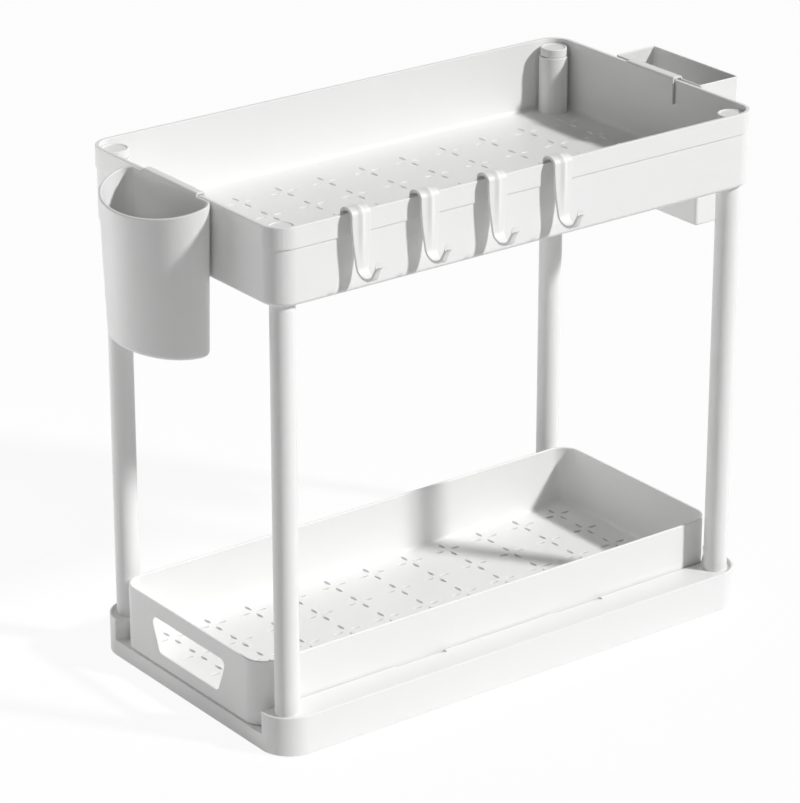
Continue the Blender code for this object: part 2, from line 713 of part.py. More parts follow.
def cup_ring(inset, height, lip):
    """One level of the cup. lip is 1 at the sloping lip, 0 where the level is flat."""
    share = (height - (TRAY_RIM - CUP_HEIGHT)) / CUP_HEIGHT
    depth = CUP_DEPTH - CUP_DEPTH_TAPER * (1 - share) - 2 * inset
    half_width = (CUP_WIDTH - CUP_WIDTH_TAPER * (1 - share)) / 2 - inset
    corner = max(CUP_BACK_RADIUS - inset, RIM_ROUND)
    side = []
    for step in range(CORNER_STEPS):
        turn = math.pi / 2 * step / CORNER_STEPS
        side.append((corner * (1 - math.cos(turn)), half_width - corner * (1 - math.sin(turn))))
    for step in range(CUP_STEPS):
        turn = math.pi / 2 * step / CUP_STEPS
        side.append((corner + (depth - corner) * math.sin(turn), half_width * math.cos(turn)))
    outline = side + [(depth, 0)] + [(out, -across) for out, across in reversed(side)]
    ring = []
    for out, across in outline:
        reach = inset + out
        drop = lip * CUP_LIP_SLOPE * reach / CUP_DEPTH
        ring.append((-CUP_BACK - reach, CUP_CENTRE_Y + across, height - drop))
    return ring


def make_cup():
    """Cup that hangs on the left end of the tray's rim."""
    bottom = TRAY_RIM - CUP_HEIGHT
    profile = shell_profile(bottom, TRAY_RIM, CUP_WALL, CUP_WALL, CUP_EDGE)
    middle = (bottom + TRAY_RIM) / 2
    rings = [cup_ring(inset, height, 1 if height > middle else 0) for inset, height in profile]
    cup = make_object("hanging_cup", stack_mesh("hanging_cup", [rings]), PLASTIC)
    join(cup, "rim_clip", [clip_body(-1, CUP_BACK, CUP_WALL, CUP_CENTRE_Y, CUP_CLIP_WIDTH)])


def make_bin():
    """Narrow bin that hangs on the right end of the tray's rim."""
    centre = (BIN_BACK + BIN_DEPTH / 2, BIN_CENTRE_Y)
    profile = shell_profile(TRAY_RIM - BIN_HEIGHT, TRAY_RIM, BIN_WALL, BIN_WALL, BIN_EDGE)
    rings = box_shell(centre, BIN_DEPTH / 2, BIN_WIDTH / 2, BIN_CORNER_RADIUS, profile)
    hanging_bin = make_object("hanging_bin", stack_mesh("hanging_bin", [rings]), PLASTIC)
    join(hanging_bin, "rim_clip", [clip_body(1, BIN_BACK, BIN_WALL, BIN_CENTRE_Y, BIN_CLIP_WIDTH)])


def make_origin():
    """Empty that carries every piece and brings the middle of the whole object over the origin."""
    left = -(CUP_BACK + CUP_DEPTH)
    right = BIN_BACK + BIN_DEPTH
    front = min(y for ring in hook_rings() for _, y, _ in ring) - TRAY_HALF_DEPTH
    rear = HALF_DEPTH
    empty = bpy.data.objects.new("shelf", None)
    bpy.context.scene.collection.objects.link(empty)
    empty.location = (-(left + right) / 2, -(front + rear) / 2, 0)
    return empty


clear_scene()
PLASTIC = make_material("white_plastic", SHELF_WHITE, PLASTIC_ROUGHNESS)
RUBBER = make_material("pad_rubber", PAD_GREY, RUBBER_ROUGHNESS)
SHELF = make_origin()
make_base()
make_drawer()
make_tray()
make_posts()
make_hooks()
make_cup()
make_bin()
bpy.context.view_layer.update()
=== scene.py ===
import math

import bmesh
import bpy
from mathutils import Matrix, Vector


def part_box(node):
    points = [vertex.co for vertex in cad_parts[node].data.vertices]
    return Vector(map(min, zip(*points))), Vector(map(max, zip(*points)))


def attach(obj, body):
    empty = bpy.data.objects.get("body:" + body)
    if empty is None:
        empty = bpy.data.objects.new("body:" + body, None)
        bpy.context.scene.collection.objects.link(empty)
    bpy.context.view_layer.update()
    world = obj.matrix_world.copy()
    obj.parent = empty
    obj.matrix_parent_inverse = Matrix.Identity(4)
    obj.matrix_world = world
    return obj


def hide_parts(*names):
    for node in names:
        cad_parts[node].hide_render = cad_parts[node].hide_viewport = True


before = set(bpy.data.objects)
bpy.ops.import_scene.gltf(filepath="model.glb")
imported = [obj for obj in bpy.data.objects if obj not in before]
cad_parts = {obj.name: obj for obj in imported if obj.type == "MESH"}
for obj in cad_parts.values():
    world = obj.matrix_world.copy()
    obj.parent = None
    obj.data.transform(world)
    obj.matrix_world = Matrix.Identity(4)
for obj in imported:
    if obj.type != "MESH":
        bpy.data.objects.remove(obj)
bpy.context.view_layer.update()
scene = bpy.context.scene

# Pads: four small discs of grey anti-slip rubber with a soft edge. They are glued under the base,
# one below each post, and keep the shelf from sliding on a board.
CORNERS = ("front_left", "front_right", "rear_left", "rear_right")
PAD_ROUND = 0.0004
PAD_ROUND_STEPS = 3
PAD_COLOUR = (0.30, 0.30, 0.31, 1.0)
PAD_WORN_COLOUR = (0.34, 0.34, 0.35, 1.0)
PAD_ROUGHNESS = 0.82
PAD_GRAIN_PER_METRE = 1400.0
PAD_GRAIN_DEPTH = 0.00008
TURNED_SIDES = 64
SHARP_ANGLE = math.radians(38)


class Signal:
    """A socket of a node tree, on which Python's arithmetic adds Math nodes."""

    def __init__(self, tree, socket=None):
        self.tree = tree
        self.socket = socket

    def feed(self, node, inputs):
        """Set a node's sockets to values, or link them to signals."""
        for place, value in inputs.items():
            if isinstance(value, Signal):
                self.tree.links.new(value.socket, node.inputs[place])
            else:
                node.inputs[place].default_value = value

    def node(self, kind, inputs, output=0, **settings):
        """Add a node with its settings and sockets, and give one of its outputs."""
        made = self.tree.nodes.new(kind)
        for setting, value in settings.items():
            setattr(made, setting, value)
        self.feed(made, inputs)
        return Signal(self.tree, made.outputs[output])

    def maths(self, operation, first, second):
        return self.node("ShaderNodeMath", {0: first, 1: second}, operation=operation)

    def __add__(self, other):
        return self.maths("ADD", self, other)

    __radd__ = __add__

    def __sub__(self, other):
        return self.maths("SUBTRACT", self, other)

    def __rsub__(self, other):
        return self.maths("SUBTRACT", other, self)

    def __mul__(self, other):
        return self.maths("MULTIPLY", self, other)

    __rmul__ = __mul__


def moulded_finish(name, colour, tint, roughness, grain_per_metre, grain_depth):
    """Material of a moulded part: fine grain from the mould, with a slow drift in colour and gloss."""
    drift_per_metre = 14.0
    drift_detail = 3.0
    grain_detail = 2.0
    noise_middle = 0.5
    gloss_drift = 0.10
    gloss_grain = 0.06
    relief_strength = 0.35
    material = bpy.data.materials.new(name)
    material.use_nodes = True
    shader = material.node_tree.nodes["Principled BSDF"]
    start = Signal(material.node_tree)
    place = start.node("ShaderNodeTexCoord", {}, "Object")

    def noise(scale, detail):
        return start.node("ShaderNodeTexNoise", {"Vector": place, "Scale": scale, "Detail": detail})

    drift = noise(drift_per_metre, drift_detail)
    grain = noise(grain_per_metre, grain_detail)
    # A Mix node has its colours on sockets 6 and 7, and gives its colour on output 2.
    shade = start.node("ShaderNodeMix", {0: drift, 6: colour, 7: tint}, 2, data_type="RGBA")
    gloss = roughness + (drift - noise_middle) * gloss_drift + (grain - noise_middle) * gloss_grain
    bump = {"Height": grain, "Distance": grain_depth, "Strength": relief_strength}
    relief = start.node("ShaderNodeBump", bump)
    start.feed(shader, {"Base Color": shade, "Roughness": gloss, "Normal": relief})
    return material


def soften(points, steps, closed=False):
    """Line or outline whose corners, each given as two coordinates and a radius, become arcs."""
    outline = []
    for index, (across, up, radius) in enumerate(points):
        corner = Vector((across, up))
        if radius == 0 or (not closed and index in (0, len(points) - 1)):
            outline.append((across, up))
            continue
        into = (Vector(points[index - 1][:2]) - corner).normalized()
        out = (Vector(points[(index + 1) % len(points)][:2]) - corner).normalized()
        half_angle = into.angle(out) / 2
        centre = corner + (into + out).normalized() * radius / math.sin(half_angle)
        start = corner + into * radius / math.tan(half_angle) - centre
        end = corner + out * radius / math.tan(half_angle) - centre
        first = math.atan2(start.y, start.x)
        arc = (math.atan2(end.y, end.x) - first + math.pi) % (2 * math.pi) - math.pi
        for step in range(steps + 1):
            turn = first + arc * step / steps
            outline.append((centre.x + radius * math.cos(turn), centre.y + radius * math.sin(turn)))
    return outline


def turned(centre, profile):
    """Rings of a round body from its radii and heights."""
    rings = []
    for radius, height in profile:
        ring = []
        for side in range(TURNED_SIDES):
            turn = 2 * math.pi * side / TURNED_SIDES
            ring.append((centre.x + radius * math.cos(turn), centre.y + radius * math.sin(turn), height))
        rings.append(ring)
    return rings


def skin(shape, rings, tube=False):
    """Join rings of points one to the next in a bmesh. The ends are capped, or joined for a tube."""
    volume = shape.calc_volume(signed=True)
    loops = [[shape.verts.new(point) for point in ring] for ring in rings]
    pairs = list(zip(loops, loops[1:]))
    faces = []
    if tube:
        pairs.append((loops[-1], loops[0]))
    else:
        faces.append(shape.faces.new(list(reversed(loops[0]))))
        faces.append(shape.faces.new(loops[-1]))
    for lower, upper in pairs:
        for index in range(len(lower)):
            after = (index + 1) % len(lower)
            faces.append(shape.faces.new((lower[index], lower[after], upper[after], upper[index])))
    # A body whose faces look inwards takes its volume off the total.
    if shape.calc_volume(signed=True) < volume:
        bmesh.ops.reverse_faces(shape, faces=faces)


def start_piece(name, bodies, tube=False):
    """Put one or more skinned bodies, in the shelf's own place, in the scene as an object."""
    shape = bmesh.new()
    for rings in bodies:
        skin(shape, rings, tube)
    mesh = bpy.data.meshes.new(name)
    shape.to_mesh(mesh)
    shape.free()
    piece = bpy.data.objects.new(name, mesh)
    scene.collection.objects.link(piece)
    return piece


def settle(piece):
    """Make what the modifiers of a piece give its own mesh."""
    graph = bpy.context.evaluated_depsgraph_get()
    mesh = bpy.data.meshes.new_from_object(piece.evaluated_get(graph))
    piece.modifiers.clear()
    piece.data = mesh


def fit_piece(piece, finish, body, node):
    """Shade a piece, give it its finish, and let it stand for a CAD node and ride on its body."""
    piece.data.materials.clear()
    piece.data.materials.append(finish)
    piece.data.shade_smooth()
    piece.data.set_sharp_from_angle(angle=SHARP_ANGLE)
    flat_first = piece.modifiers.new("flat_faces_first", "WEIGHTED_NORMAL")
    flat_first.keep_sharp = True
    settle(piece)
    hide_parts(node)
    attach(piece, body)


def middle_of(node):
    """Middle of a CAD node's box."""
    low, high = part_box(node)
    return (low + high) / 2


rubber = moulded_finish(
    "pad_rubber", PAD_COLOUR, PAD_WORN_COLOUR, PAD_ROUGHNESS, PAD_GRAIN_PER_METRE, PAD_GRAIN_DEPTH
)
for corner in CORNERS:
    low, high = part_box("base_pad_" + corner)
    radius = (high.x - low.x) / 2
    profile = soften(
        [(0.0, low.z, 0), (radius, low.z, PAD_ROUND), (radius, high.z, PAD_ROUND), (0.0, high.z, 0)],
        PAD_ROUND_STEPS,
    )
    pad = start_piece("pad_disc_" + corner, [turned(middle_of("base_pad_" + corner), profile[1:-1])])
    fit_piece(pad, rubber, "frame", "base_pad_" + corner)

# Base: one shallow injection moulding of white satin plastic with a thin raised rim. A channel for
# the drawer runs in from its left end, and each corner has a socket into which a post is pressed.
BASE_CORNER_RADIUS = 0.0216
BASE_WALL = 0.0022
BASE_FOOT_ROUND = 0.0007
BASE_RIM_WIDTH = 0.0016
BASE_RIM_ROUND = 0.0006
BASE_LEDGE_DROP = 0.002
BASE_FILLET = 0.0006
CHANNEL_FLOOR = 0.0122
CHANNEL_SIDE_GAP = 0.0009
CHANNEL_END_LEDGE = 0.007
CHANNEL_RADIUS = 0.016
MOUTH_WIDENING = 0.0046
MOUTH_LENGTH = 0.008
UNDERSIDE = 0.010
RIB_COUNT = 5
RIB_PITCH = 0.060
RIB_THICKNESS = 0.0018
RIB_HEIGHT = 0.003
SOCKET_CLEARANCE = 0.0001
SOCKET_BOTTOM = 0.0043
BOSS_BOTTOM = 0.0018
RELIEF_PLACE = 0.067
RELIEF_LENGTH = 0.041
RELIEF_WIDTH = 0.0035
RELIEF_DROP = 0.0012
RELIEF_ROUND = 0.0009
RELIEF_FILLET = 0.0003
SLOT_LENGTH = 0.007
SLOT_WIDTH = 0.0021
SLOT_RADIUS = SLOT_WIDTH / 3
CORNER_STEPS = 14
SMALLEST_CORNER = 0.0004
EDGE_STEPS = 4
# A cutter runs past what it cuts by OVERRUN, or by no more than GRAZE where it also rounds the edge.
OVERRUN = 0.002
GRAZE = 0.00002
WHITE_COLOUR = (0.86, 0.86, 0.85, 1.0)
WHITE_TINT = (0.835, 0.84, 0.835, 1.0)
WHITE_ROUGHNESS = 0.42
WHITE_GRAIN_PER_METRE = 2200.0
WHITE_GRAIN_DEPTH = 0.00002
white = moulded_finish(
    "white_plastic", WHITE_COLOUR, WHITE_TINT, WHITE_ROUGHNESS, WHITE_GRAIN_PER_METRE, WHITE_GRAIN_DEPTH
)


def rectangle(centre, half_x, half_y, radius):
    """Plan outline of a rectangle with round corners, as a function of how far it is drawn in."""

    def outline_at(inset):
        corner = max(radius - inset, SMALLEST_CORNER)
        x = half_x - inset
        y = half_y - inset
        corners = [(-x, -y), (x, -y), (x, y), (-x, y)]
        return soften([(centre.x + u, centre.y + v, corner) for u, v in corners], CORNER_STEPS, closed=True)

    return outline_at


def stack(outline_at, profile):
    """Rings of a body whose plan outline is drawn in by each inset at each height."""
    return [[(x, y, height) for x, y in outline_at(inset)] for inset, height in profile]


def slab(outline, low, high):
    """Rings of an upright body on a plan outline."""
    return [[(x, y, height) for x, y in outline] for height in (low, high)]


def carve(piece, bodies, operation="DIFFERENCE"):
    """Cut closed bodies out of a piece, or join them on, and keep the result."""
    tool = start_piece("carving_tool", bodies)
    modifier = piece.modifiers.new("carving", "BOOLEAN")
    modifier.operation = operation
    modifier.solver = "MANIFOLD"
    modifier.object = tool
    settle(piece)
    bpy.data.objects.remove(tool, do_unlink=True)


def pocket(low, high, fillet, flare):
    """Profile of a cutter that leaves a fillet at a pocket's floor and a rounded edge at its mouth."""
    mouth = high + GRAZE
    return soften(
        [(2 * fillet, low, 0), (0.0, low, fillet), (0.0, mouth, flare), (-2 * flare, mouth, 0)], EDGE_STEPS
    )


base_low, base_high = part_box("base_frame")
base_middle = middle_of("base_frame")
base_half_x = (base_high.x - base_low.x) / 2
base_half_y = (base_high.y - base_low.y) / 2
ledge = base_high.z - BASE_LEDGE_DROP
drawer_low, drawer_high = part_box("sliding_drawer")
channel_half = (drawer_high.y - drawer_low.y) / 2 + CHANNEL_SIDE_GAP
channel_end = base_half_x - CHANNEL_END_LEDGE


def channel_outline(inset):
    """Plan outline of the drawer's channel: round at its closed end, wider at its mouth."""
    half = channel_half - inset
    mouth = half + MOUTH_WIDENING * (MOUTH_LENGTH + OVERRUN) / MOUTH_LENGTH
    end = channel_end - inset
    radius = CHANNEL_RADIUS - inset
    neck = MOUTH_LENGTH - base_half_x
    outside = -base_half_x - OVERRUN
    points = [
        (outside, -mouth, 0), (neck, -half, 0), (end, -half, radius),
        (end, half, radius), (neck, half, 0), (outside, mouth, 0),
    ]
    return [(base_middle.x + x, base_middle.y + y) for x, y in soften(points, CORNER_STEPS, closed=True)]


base_outline = rectangle(base_middle, base_half_x, base_half_y, BASE_CORNER_RADIUS)
base_profile = soften(
    [
        (BASE_RIM_WIDTH, base_low.z, 0), (0.0, base_low.z, BASE_FOOT_ROUND),
        (0.0, base_high.z, BASE_RIM_ROUND), (BASE_RIM_WIDTH, base_high.z, 0),
    ],
    EDGE_STEPS,
)
base = start_piece("base_moulding", [stack(base_outline, base_profile)])
recess_outline = rectangle(
    base_middle,
    base_half_x - BASE_RIM_WIDTH,
    base_half_y - BASE_RIM_WIDTH,
    BASE_CORNER_RADIUS - BASE_RIM_WIDTH,
)
carve(base, [stack(recess_outline, pocket(ledge, base_high.z, BASE_FILLET, BASE_RIM_ROUND))])
carve(base, [stack(channel_outline, pocket(CHANNEL_FLOOR, ledge, BASE_FILLET, BASE_FILLET))])
mouth_end = base_middle.x - base_half_x + 2 * BASE_RIM_WIDTH
mouth_cut = [(min(x, mouth_end), y) for x, y in channel_outline(-BASE_FILLET) if x < base_middle.x]
carve(base, [slab(mouth_cut, ledge - BASE_FILLET, base_high.z + OVERRUN)])

skirt_inside = rectangle(
    base_middle, base_half_x - BASE_WALL, base_half_y - BASE_WALL, BASE_CORNER_RADIUS - BASE_WALL
)(0)
carve(base, [slab(skirt_inside, base_low.z - OVERRUN, UNDERSIDE)])
post_places = [middle_of("post_" + corner) for corner in CORNERS]
post_low, post_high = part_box("post_front_left")
post_radius = (post_high.x - post_low.x) / 2
socket_radius = post_radius + SOCKET_CLEARANCE
boss_radius = socket_radius + BASE_WALL
bay_half = post_places[1].x - base_middle.x - boss_radius
bays = []
for side in (-1, 1):
    bay_inner = channel_half + BASE_WALL
    bay_outer = base_half_y - BASE_WALL
    bay_middle = Vector((base_middle.x, base_middle.y + side * (bay_inner + bay_outer) / 2))
    bay_outline = rectangle(bay_middle, bay_half, (bay_outer - bay_inner) / 2, BASE_WALL)(0)
    bays.append(slab(bay_outline, UNDERSIDE - OVERRUN, ledge - BASE_WALL))
carve(base, bays)
ribs = []
for index in range(RIB_COUNT):
    rib_middle = Vector((base_middle.x + (index - (RIB_COUNT - 1) / 2) * RIB_PITCH, base_middle.y))
    rib_outline = rectangle(rib_middle, RIB_THICKNESS / 2, channel_half + BASE_WALL / 2, 0)(0)
    ribs.append(slab(rib_outline, UNDERSIDE - RIB_HEIGHT, UNDERSIDE + BASE_WALL / 2))
carve(base, ribs, "UNION")
boss_profile = [(boss_radius, BOSS_BOTTOM), (boss_radius, UNDERSIDE + OVERRUN)]
carve(base, [turned(place, boss_profile) for place in post_places], "UNION")
socket_profile = [(socket_radius, SOCKET_BOTTOM), (socket_radius, ledge + OVERRUN)]
carve(base, [turned(place, socket_profile) for place in post_places])
reliefs = []
slots = []
for side_x in (-1, 1):
    for side_y in (-1, 1):
        inner = channel_half - OVERRUN
        outer = channel_half + RELIEF_WIDTH
        relief_middle = base_middle + Vector((side_x * RELIEF_PLACE, side_y * (inner + outer) / 2, 0))
        relief = rectangle(relief_middle, RELIEF_LENGTH / 2, (outer - inner) / 2, RELIEF_ROUND)
        reliefs.append(stack(relief, pocket(ledge - RELIEF_DROP, ledge, RELIEF_FILLET, RELIEF_FILLET)))
        slot_middle = base_middle + Vector(
            (side_x * RELIEF_PLACE + (RELIEF_LENGTH - SLOT_LENGTH) / 2, side_y * (outer - SLOT_WIDTH / 2), 0)
        )
        slot = rectangle(slot_middle, SLOT_LENGTH / 2, SLOT_WIDTH / 2, SLOT_RADIUS)(0)
        slots.append(slab(slot, ledge - BASE_WALL - OVERRUN, ledge + OVERRUN))
carve(base, reliefs)
carve(base, slots)
fit_piece(base, white, "frame", "base_frame")

# Drawer: a thin-walled white box with round corners, moulded in one shot. It slides in the base's
# channel, has a finger grip through its left end, and drains through flowers of four petals.
DRAWER_CORNER_RADIUS = 0.015
DRAWER_WALL = 0.0019
DRAWER_FLOOR = 0.0016
DRAWER_FOOT_ROUND = 0.0009
DRAWER_RIM_ROUND = 0.0008
DRAWER_FILLET = 0.0025
GRIP_TOP_WIDTH = 0.0874
GRIP_BOTTOM_WIDTH = 0.068
GRIP_RADIUS = 0.004
GRIP_BAND = 0.0115
GRIP_SILL = 0.0098
GRIP_EDGE = 0.0005
GRIP_STEPS = 10
FLOWER_COLUMNS = 11
FLOWER_ROWS = 5
PETAL_START = 0.003
PETAL_LENGTH = 0.008
PETAL_WIDTH = 0.0022
PETAL_EDGE = 0.0002
PETAL_OVERRUN = 0.0005
PETAL_STEPS = 8
DRAWER_PATTERN_MARGIN_X = 0.0233
DRAWER_PATTERN_MARGIN_Y = 0.0162


def open_box(centre, half_x, half_y, radius, low, rim, wall, floor, rounds, band=None):
    """Rings of an open box. rounds holds the radii of its foot, its rim and its inner fillet.

    A band holds its height, its depth, by which the wall below it is drawn in, and the radii of the
    hollow under it and of its lower edge.
    """
    foot, lip, fillet = rounds
    band_height, depth, hollow, edge = band or (0.0, 0.0, 0.0, 0.0)
    inside = wall + depth
    deep = inside + fillet + foot
    points = [(deep, low, 0), (depth, low, foot)]
    if band:
        points += [(depth, rim - band_height, hollow), (0.0, rim - band_height, edge)]
    points += [(0.0, rim, lip), (inside, rim, lip), (inside, low + floor, fillet), (deep, low + floor, 0)]
    return stack(rectangle(centre, half_x, half_y, radius), soften(points, EDGE_STEPS))


def petal(centre, along, reach, half_width):
    """Lens-shaped outline between two arcs, about a centre, with its tips along a direction."""
    bow = (reach ** 2 + half_width ** 2) / (2 * half_width)
    half_sweep = math.asin(reach / bow)
    outline = []
    for side in (1, -1):
        for step in range(PETAL_STEPS):
            turn = half_sweep * (1 - 2 * step / PETAL_STEPS)
            u = side * bow * math.sin(turn)
            v = side * (bow * math.cos(turn) - bow + half_width)
            outline.append((centre[0] + u * along[0] - v * along[1], centre[1] + u * along[1] + v * along[0]))
    return outline


def drain_floor(piece, centre, inner_x, inner_y, low, high):
    """Cut a grid of flowers through a floor, with a fine chamfer on both of its faces."""
    pitch_x = 2 * inner_x / (FLOWER_COLUMNS - 1)
    pitch_y = 2 * inner_y / (FLOWER_ROWS - 1)
    half = PETAL_LENGTH / 2
    profile = [
        (PETAL_EDGE + PETAL_OVERRUN, low - PETAL_OVERRUN), (0.0, low + PETAL_EDGE),
        (0.0, high - PETAL_EDGE), (PETAL_EDGE + PETAL_OVERRUN, high + PETAL_OVERRUN),
    ]
    bodies = []
    for column in range(FLOWER_COLUMNS):
        for row in range(FLOWER_ROWS):
            x = centre.x - inner_x + column * pitch_x
            y = centre.y - inner_y + row * pitch_y
            for along in ((1, 0), (0, 1), (-1, 0), (0, -1)):
                middle = (x + along[0] * (PETAL_START + half), y + along[1] * (PETAL_START + half))
                rings = []
                for spread, height in profile:
                    outline = petal(middle, along, half + spread, PETAL_WIDTH / 2 + spread)
                    rings.append([(u, v, height) for u, v in outline])
                bodies.append(rings)

    # The floor is first divided into one cell for each flower, which keeps its faces small.
    shape = bmesh.new()
    shape.from_mesh(piece.data)
    for count, pitch, inner, along in (
        (FLOWER_COLUMNS, pitch_x, inner_x, Vector((1, 0, 0))),
        (FLOWER_ROWS, pitch_y, inner_y, Vector((0, 1, 0))),
    ):
        for index in range(count + 1):
            place = Vector((centre.x, centre.y, low)) + along * ((index - 0.5) * pitch - inner)
            everything = shape.verts[:] + shape.edges[:] + shape.faces[:]
            bmesh.ops.bisect_plane(shape, geom=everything, plane_co=place, plane_no=along)
    shape.to_mesh(piece.data)
    shape.free()
    carve(piece, bodies)


drawer_middle = middle_of("sliding_drawer")
drawer_half_x = (drawer_high.x - drawer_low.x) / 2
drawer_half_y = (drawer_high.y - drawer_low.y) / 2
drawer_rings = open_box(
    drawer_middle, drawer_half_x, drawer_half_y, DRAWER_CORNER_RADIUS, drawer_low.z, drawer_high.z,
    DRAWER_WALL, DRAWER_FLOOR, (DRAWER_FOOT_ROUND, DRAWER_RIM_ROUND, DRAWER_FILLET),
)
drawer = start_piece("drawer_box", [drawer_rings])
grip_low = drawer_low.z + GRIP_SILL
grip_high = drawer_high.z - GRIP_BAND
grip_centre = (grip_low + grip_high) / 2
grip_corners = (
    (-GRIP_BOTTOM_WIDTH / 2, grip_low), (GRIP_BOTTOM_WIDTH / 2, grip_low),
    (GRIP_TOP_WIDTH / 2, grip_high), (-GRIP_TOP_WIDTH / 2, grip_high),
)
wall_out = drawer_low.x
wall_in = drawer_low.x + DRAWER_WALL
grip_profile = soften(
    [
        (wall_out - GRAZE, 2 * GRIP_EDGE, 0), (wall_out - GRAZE, 0.0, GRIP_EDGE),
        (wall_in + GRAZE, 0.0, GRIP_EDGE), (wall_in + GRAZE, 2 * GRIP_EDGE, 0),
    ],
    EDGE_STEPS,
)
grip_rings = []
for x, spread in grip_profile:
    ring = []
    for y, z in grip_corners:
        side = math.copysign(spread, y)
        rise = math.copysign(spread, z - grip_centre)
        ring.append((drawer_middle.y + y + side, z + rise, GRIP_RADIUS + spread))
    grip_rings.append([(x, y, z) for y, z in soften(ring, GRIP_STEPS, closed=True)])
carve(drawer, [grip_rings])
drain_floor(
    drawer,
    Vector((base_middle.x, base_middle.y)),
    drawer_half_x - DRAWER_WALL - DRAWER_PATTERN_MARGIN_X,
    drawer_half_y - DRAWER_WALL - DRAWER_PATTERN_MARGIN_Y,
    drawer_low.z,
    drawer_low.z + DRAWER_FLOOR,
)
fit_piece(drawer, white, "drawer", "sliding_drawer")

# Posts: four straight white tubes, extruded and cut to length. Each is pressed into a socket of the
# base, and its top sits in a sleeve of the tray.
POST_WALL = 0.0012
POST_CHAMFER = 0.0004
for corner, place in zip(CORNERS, post_places):
    low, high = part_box("post_" + corner)
    bore = post_radius - POST_WALL
    profile = [
        (post_radius - POST_CHAMFER, low.z), (post_radius, low.z + POST_CHAMFER),
        (post_radius, high.z - POST_CHAMFER), (post_radius - POST_CHAMFER, high.z),
        (bore, high.z), (bore, low.z),
    ]
    post = start_piece("post_tube_" + corner, [turned(place, profile)], tube=True)
    fit_piece(post, white, "frame", "post_" + corner)

# Upper tray: a deeper white moulding with a proud band round its rim, a sleeve in each corner that
# takes a post, and the drawer's pattern of drain flowers in its floor.
TRAY_CORNER_RADIUS = 0.016
TRAY_WALL = 0.002
TRAY_FLOOR = 0.0025
TRAY_FOOT_ROUND = 0.003
TRAY_RIM_ROUND = 0.0005
TRAY_FILLET = 0.0025
BAND_HEIGHT = 0.0142
BAND_PROUD = 0.0008
BAND_HOLLOW_ROUND = 0.0001
BAND_EDGE_ROUND = 0.00016
SLEEVE_WALL = 0.0018
SLEEVE_DROP = 0.009
SLEEVE_ROOF = 0.004
SLEEVE_ROUND = 0.0006
TRAY_PATTERN_MARGIN_X = 0.0217
TRAY_PATTERN_MARGIN_Y = 0.0381
tray_low, tray_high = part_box("upper_tray")
tray_middle = middle_of("upper_tray")
tray_half_x = (tray_high.x - tray_low.x) / 2
tray_half_y = (tray_high.y - tray_low.y) / 2
tray_inside = TRAY_WALL + BAND_PROUD
tray_rings = open_box(
    tray_middle, tray_half_x, tray_half_y, TRAY_CORNER_RADIUS, tray_low.z, tray_high.z,
    TRAY_WALL, TRAY_FLOOR, (TRAY_FOOT_ROUND, TRAY_RIM_ROUND, TRAY_FILLET),
    (BAND_HEIGHT, BAND_PROUD, BAND_HOLLOW_ROUND, BAND_EDGE_ROUND),
)
tray = start_piece("tray_shell", [tray_rings])
sleeve_radius = socket_radius + SLEEVE_WALL
sleeve_top = tray_high.z - SLEEVE_DROP
sleeve_profile = soften(
    [
        (sleeve_radius, tray_low.z + TRAY_FLOOR / 2, 0), (sleeve_radius, sleeve_top, SLEEVE_ROUND),
        (post_radius - POST_WALL, sleeve_top, 0),
    ],
    EDGE_STEPS,
)
carve(tray, [turned(place, sleeve_profile) for place in post_places], "UNION")
bore_profile = [
    (socket_radius, tray_low.z - OVERRUN), (socket_radius, sleeve_top - SLEEVE_ROOF),
    (post_radius - POST_WALL, sleeve_top - SLEEVE_ROOF), (post_radius - POST_WALL, sleeve_top + OVERRUN),
]
carve(tray, [turned(place, bore_profile) for place in post_places])
drain_floor(
    tray,
    tray_middle,
    tray_half_x - tray_inside - TRAY_PATTERN_MARGIN_X,
    tray_half_y - tray_inside - TRAY_PATTERN_MARGIN_Y,
    tray_low.z,
    tray_low.z + TRAY_FLOOR,
)
fit_piece(tray, white, "frame", "upper_tray")

# Post caps: four white plugs pushed through the sleeves into the tubes. Each has a round head with
# a soft edge and a shallow dish in its top.
CAP_ROUND = 0.0006
CAP_DISH_RIM = 0.0013
CAP_DISH_DEPTH = 0.0006
CAP_PLUG_CHAMFER = 0.0006
CAP_PLUG_GAP = 0.0003
for corner in CORNERS:
    low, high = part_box("post_cap_" + corner)
    cap_radius = (high.x - low.x) / 2
    plug_radius = post_radius - POST_WALL - CAP_PLUG_GAP
    head_low = sleeve_top + CAP_PLUG_GAP
    dish_radius = cap_radius - CAP_DISH_RIM
    cap_profile = soften(
        [
            (plug_radius - CAP_PLUG_CHAMFER, low.z, 0), (plug_radius, low.z + CAP_PLUG_CHAMFER, 0),
            (plug_radius, head_low, 0), (cap_radius, head_low, CAP_PLUG_CHAMFER / 2),
            (cap_radius, high.z, CAP_ROUND), (dish_radius, high.z, CAP_DISH_DEPTH / 2),
            (dish_radius - CAP_DISH_DEPTH, high.z - CAP_DISH_DEPTH, CAP_DISH_DEPTH / 2),
            (CAP_DISH_DEPTH, high.z - CAP_DISH_DEPTH, 0),
        ],
        EDGE_STEPS,
    )
    cap = start_piece("cap_plug_" + corner, [turned(middle_of("post_cap_" + corner), cap_profile)])
    fit_piece(cap, white, "frame", "post_cap_" + corner)

